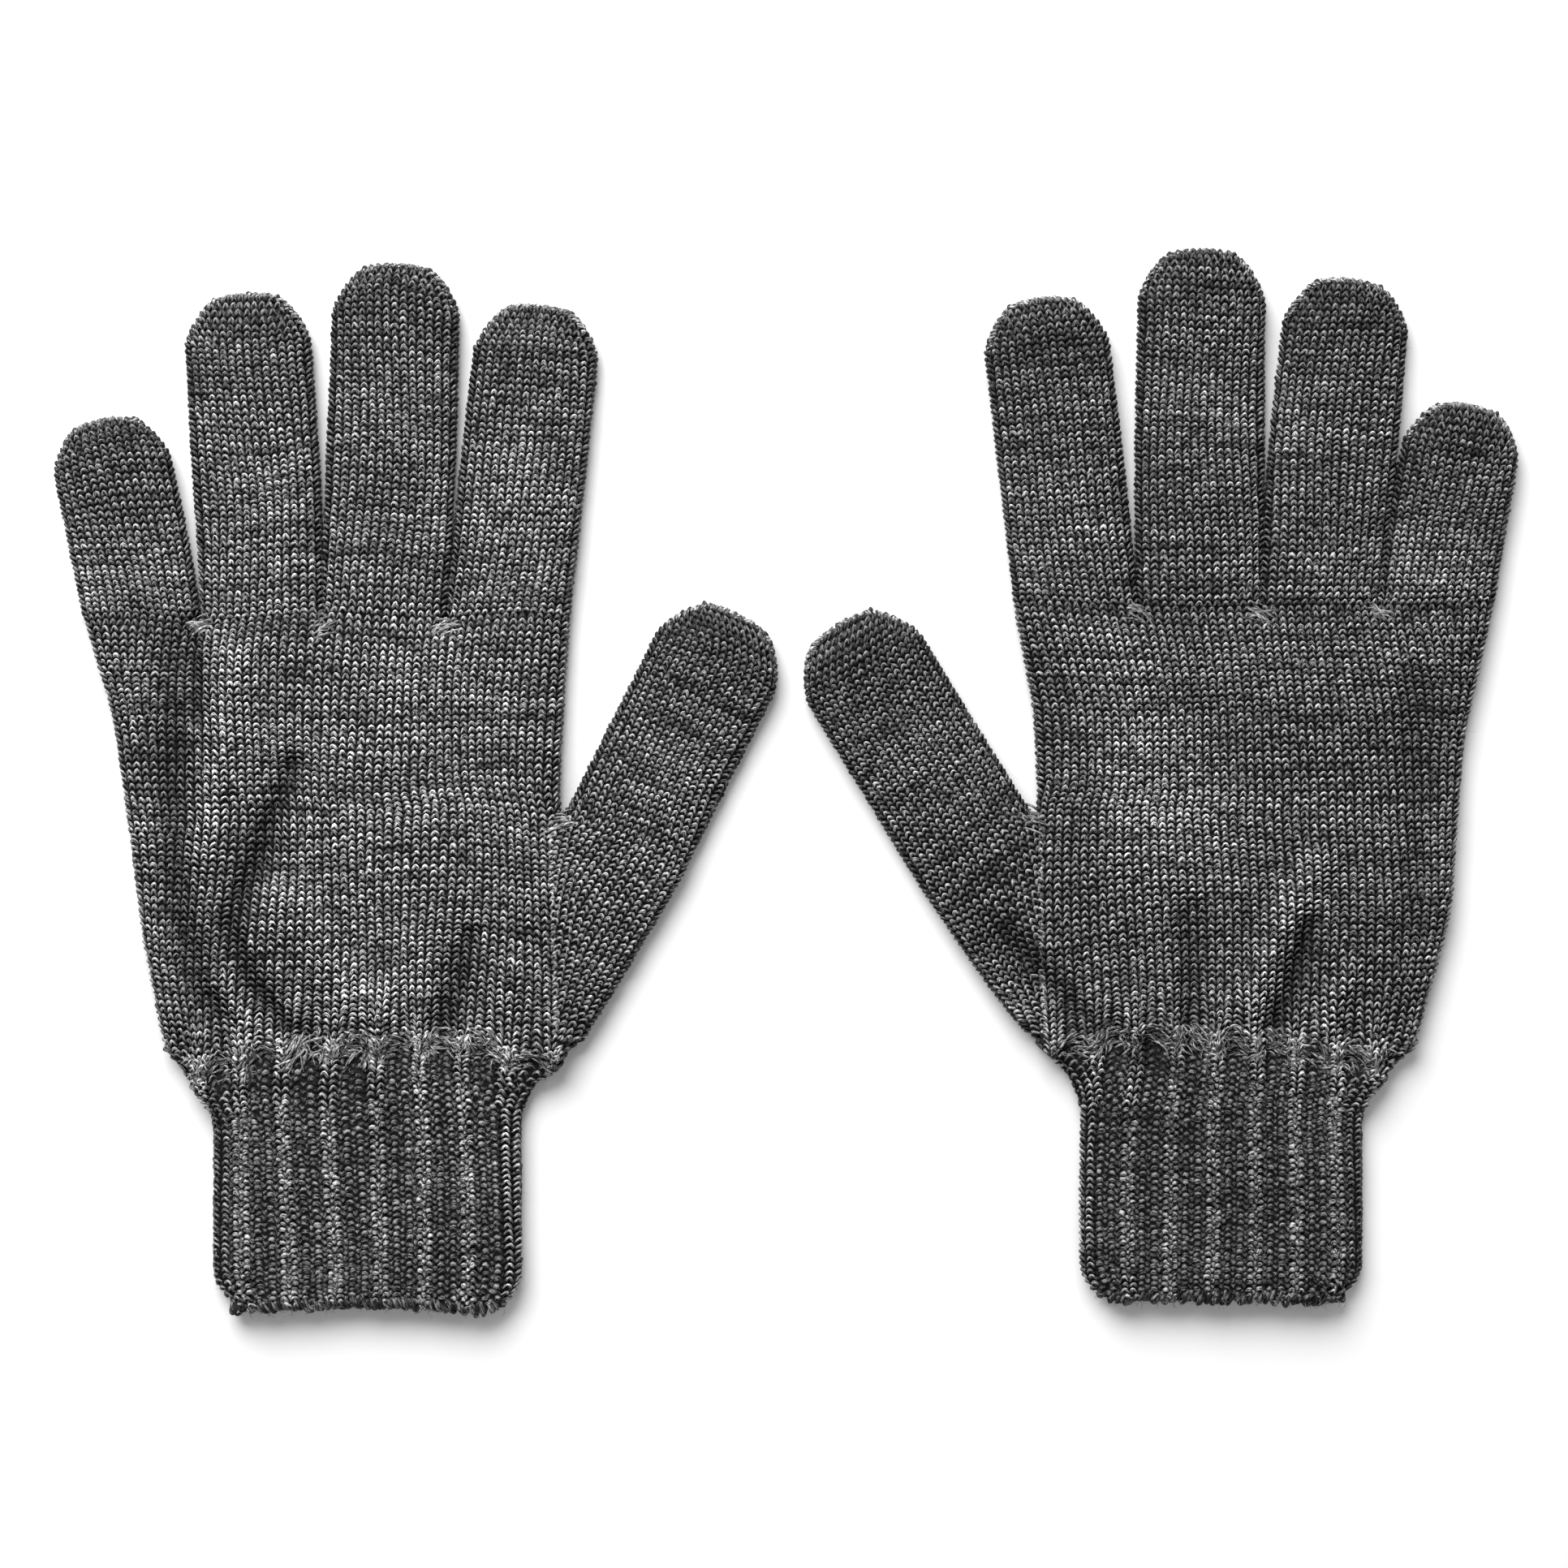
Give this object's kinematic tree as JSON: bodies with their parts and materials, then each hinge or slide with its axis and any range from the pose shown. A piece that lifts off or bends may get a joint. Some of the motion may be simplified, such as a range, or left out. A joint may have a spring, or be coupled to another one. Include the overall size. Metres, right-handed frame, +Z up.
{
  "type": "pair of touchscreen gloves",
  "caption": "Pair of plain knitted gloves with ribbed elastic cuffs and conductive thumb and index tips, lying flat, every digit bending at its knuckles.",
  "frame": {"origin": "middle of the pair, on the table", "axes": "+X from the glove lying at the left to the one at the right, +Y from the cuffs to the fingertips, +Z up out of the table, through the palms"},
  "size_m": [0.361, 0.2616, 0.008],
  "materials": {
    "plain_knit": "charcoal marl plain knit",
    "conductive_knit": "charcoal marl plain knit with conductive thread",
    "ribbed_knit": "charcoal marl rib knit",
    "tie_in_yarn": "charcoal marl yarn ends",
    "elastic_thread": "covered elastic thread"
  },
  "bodies": {
    "right_glove": {"right_hand": "plain_knit", "right_cuff": "ribbed_knit", "right_cuff_hem": "ribbed_knit", "right_cuff_elastic": "elastic_thread", "right_fork_stitches": "tie_in_yarn"},
    "right_little_base": {"right_little_base": "plain_knit"},
    "right_little_middle": {"right_little_middle": "plain_knit"},
    "right_little_tip": {"right_little_tip": "plain_knit"},
    "right_ring_base": {"right_ring_base": "plain_knit"},
    "right_ring_middle": {"right_ring_middle": "plain_knit"},
    "right_ring_tip": {"right_ring_tip": "plain_knit"},
    "right_middle_base": {"right_middle_base": "plain_knit"},
    "right_middle_middle": {"right_middle_middle": "plain_knit"},
    "right_middle_tip": {"right_middle_tip": "plain_knit"},
    "right_index_base": {"right_index_base": "plain_knit"},
    "right_index_middle": {"right_index_middle": "plain_knit"},
    "right_index_tip": {"right_index_tip": "conductive_knit"},
    "right_thumb_base": {"right_thumb_base": "plain_knit"},
    "right_thumb_tip": {"right_thumb_tip": "conductive_knit"},
    "left_glove": {"left_hand": "plain_knit", "left_cuff": "ribbed_knit", "left_cuff_hem": "ribbed_knit", "left_cuff_elastic": "elastic_thread", "left_fork_stitches": "tie_in_yarn"},
    "left_little_base": {"left_little_base": "plain_knit"},
    "left_little_middle": {"left_little_middle": "plain_knit"},
    "left_little_tip": {"left_little_tip": "plain_knit"},
    "left_ring_base": {"left_ring_base": "plain_knit"},
    "left_ring_middle": {"left_ring_middle": "plain_knit"},
    "left_ring_tip": {"left_ring_tip": "plain_knit"},
    "left_middle_base": {"left_middle_base": "plain_knit"},
    "left_middle_middle": {"left_middle_middle": "plain_knit"},
    "left_middle_tip": {"left_middle_tip": "plain_knit"},
    "left_index_base": {"left_index_base": "plain_knit"},
    "left_index_middle": {"left_index_middle": "plain_knit"},
    "left_index_tip": {"left_index_tip": "conductive_knit"},
    "left_thumb_base": {"left_thumb_base": "plain_knit"},
    "left_thumb_tip": {"left_thumb_tip": "conductive_knit"}
  },
  "joints": [
    {"name": "right_little_base_bend", "type": "hinge", "parent": "right_glove", "child": "right_little_base", "pos_m": [-0.16012, 0.04613, 0.008], "axis": [1, 0, 0], "range_deg": [0, 80]},
    {"name": "right_little_middle_bend", "type": "hinge", "parent": "right_little_base", "child": "right_little_middle", "pos_m": [-0.1627, 0.05981, 0.008], "axis": [1, 0, 0], "range_deg": [0, 90]},
    {"name": "right_little_tip_bend", "type": "hinge", "parent": "right_little_middle", "child": "right_little_tip", "pos_m": [-0.16536, 0.07384, 0.008], "axis": [1, 0, 0], "range_deg": [0, 54]},
    {"name": "right_ring_base_bend", "type": "hinge", "parent": "right_glove", "child": "right_ring_base", "pos_m": [-0.12897, 0.04685, 0.008], "axis": [1, 0, 0], "range_deg": [0, 80]},
    {"name": "right_ring_middle_bend", "type": "hinge", "parent": "right_ring_base", "child": "right_ring_middle", "pos_m": [-0.13054, 0.07315, 0.008], "axis": [1, 0, 0], "range_deg": [0, 90]},
    {"name": "right_ring_tip_bend", "type": "hinge", "parent": "right_ring_middle", "child": "right_ring_tip", "pos_m": [-0.13187, 0.09568, 0.008], "axis": [1, 0, 0], "range_deg": [0, 54]},
    {"name": "right_middle_base_bend", "type": "hinge", "parent": "right_glove", "child": "right_middle_base", "pos_m": [-0.09874, 0.04766, 0.008], "axis": [1, 0, 0], "range_deg": [0, 80]},
    {"name": "right_middle_middle_bend", "type": "hinge", "parent": "right_middle_base", "child": "right_middle_middle", "pos_m": [-0.09763, 0.07667, 0.008], "axis": [1, 0, 0], "range_deg": [0, 90]},
    {"name": "right_middle_tip_bend", "type": "hinge", "parent": "right_middle_middle", "child": "right_middle_tip", "pos_m": [-0.09669, 0.10102, 0.008], "axis": [1, 0, 0], "range_deg": [0, 54]},
    {"name": "right_index_base_bend", "type": "hinge", "parent": "right_glove", "child": "right_index_base", "pos_m": [-0.06747, 0.04822, 0.008], "axis": [1, 0, 0], "range_deg": [0, 80]},
    {"name": "right_index_middle_bend", "type": "hinge", "parent": "right_index_base", "child": "right_index_middle", "pos_m": [-0.06498, 0.07277, 0.008], "axis": [1, 0, 0], "range_deg": [0, 90]},
    {"name": "right_index_tip_bend", "type": "hinge", "parent": "right_index_middle", "child": "right_index_tip", "pos_m": [-0.06281, 0.09411, 0.008], "axis": [1, 0, 0], "range_deg": [0, 54]},
    {"name": "right_thumb_base_bend", "type": "hinge", "parent": "right_glove", "child": "right_thumb_base", "pos_m": [-0.03705, -0.00934, 0.008], "axis": [0.8926, -0.4509, 0], "range_deg": [0, 55]},
    {"name": "right_thumb_tip_bend", "type": "hinge", "parent": "right_thumb_base", "child": "right_thumb_tip", "pos_m": [-0.02523, 0.01405, 0.008], "axis": [0.8926, -0.4509, 0], "range_deg": [0, 75]},
    {"name": "left_little_base_bend", "type": "hinge", "parent": "left_glove", "child": "left_little_base", "pos_m": [0.16112, 0.04957, 0.008], "axis": [1, 0, 0], "range_deg": [0, 80]},
    {"name": "left_little_middle_bend", "type": "hinge", "parent": "left_little_base", "child": "left_little_middle", "pos_m": [0.16325, 0.06333, 0.008], "axis": [1, 0, 0], "range_deg": [0, 90]},
    {"name": "left_little_tip_bend", "type": "hinge", "parent": "left_little_middle", "child": "left_little_tip", "pos_m": [0.16543, 0.07744, 0.008], "axis": [1, 0, 0], "range_deg": [0, 54]},
    {"name": "left_ring_base_bend", "type": "hinge", "parent": "left_glove", "child": "left_ring_base", "pos_m": [0.13169, 0.05063, 0.008], "axis": [1, 0, 0], "range_deg": [0, 80]},
    {"name": "left_ring_middle_bend", "type": "hinge", "parent": "left_ring_base", "child": "left_ring_middle", "pos_m": [0.13422, 0.07686, 0.008], "axis": [1, 0, 0], "range_deg": [0, 90]},
    {"name": "left_ring_tip_bend", "type": "hinge", "parent": "left_ring_middle", "child": "left_ring_tip", "pos_m": [0.13638, 0.09932, 0.008], "axis": [1, 0, 0], "range_deg": [0, 54]},
    {"name": "left_middle_base_bend", "type": "hinge", "parent": "left_glove", "child": "left_middle_base", "pos_m": [0.10155, 0.05126, 0.008], "axis": [1, 0, 0], "range_deg": [0, 80]},
    {"name": "left_middle_middle_bend", "type": "hinge", "parent": "left_middle_base", "child": "left_middle_middle", "pos_m": [0.10186, 0.0803, 0.008], "axis": [1, 0, 0], "range_deg": [0, 90]},
    {"name": "left_middle_tip_bend", "type": "hinge", "parent": "left_middle_middle", "child": "left_middle_tip", "pos_m": [0.10211, 0.10466, 0.008], "axis": [1, 0, 0], "range_deg": [0, 54]},
    {"name": "left_index_base_bend", "type": "hinge", "parent": "left_glove", "child": "left_index_base", "pos_m": [0.07035, 0.05001, 0.008], "axis": [1, 0, 0], "range_deg": [0, 80]},
    {"name": "left_index_middle_bend", "type": "hinge", "parent": "left_index_base", "child": "left_index_middle", "pos_m": [0.06764, 0.07454, 0.008], "axis": [1, 0, 0], "range_deg": [0, 90]},
    {"name": "left_index_tip_bend", "type": "hinge", "parent": "left_index_middle", "child": "left_index_tip", "pos_m": [0.06529, 0.09586, 0.008], "axis": [1, 0, 0], "range_deg": [0, 54]},
    {"name": "left_thumb_base_bend", "type": "hinge", "parent": "left_glove", "child": "left_thumb_base", "pos_m": [0.04315, -0.01124, 0.008], "axis": [0.8526, 0.5225, 0], "range_deg": [0, 55]},
    {"name": "left_thumb_tip_bend", "type": "hinge", "parent": "left_thumb_base", "child": "left_thumb_tip", "pos_m": [0.02885, 0.0121, 0.008], "axis": [0.8526, 0.5225, 0], "range_deg": [0, 75]},
    {"name": "left_glove_lift", "type": "slide", "parent": "right_glove", "child": "left_glove", "axis": [0, 0, 1], "range_m": [0, 0.1]}
  ]
}
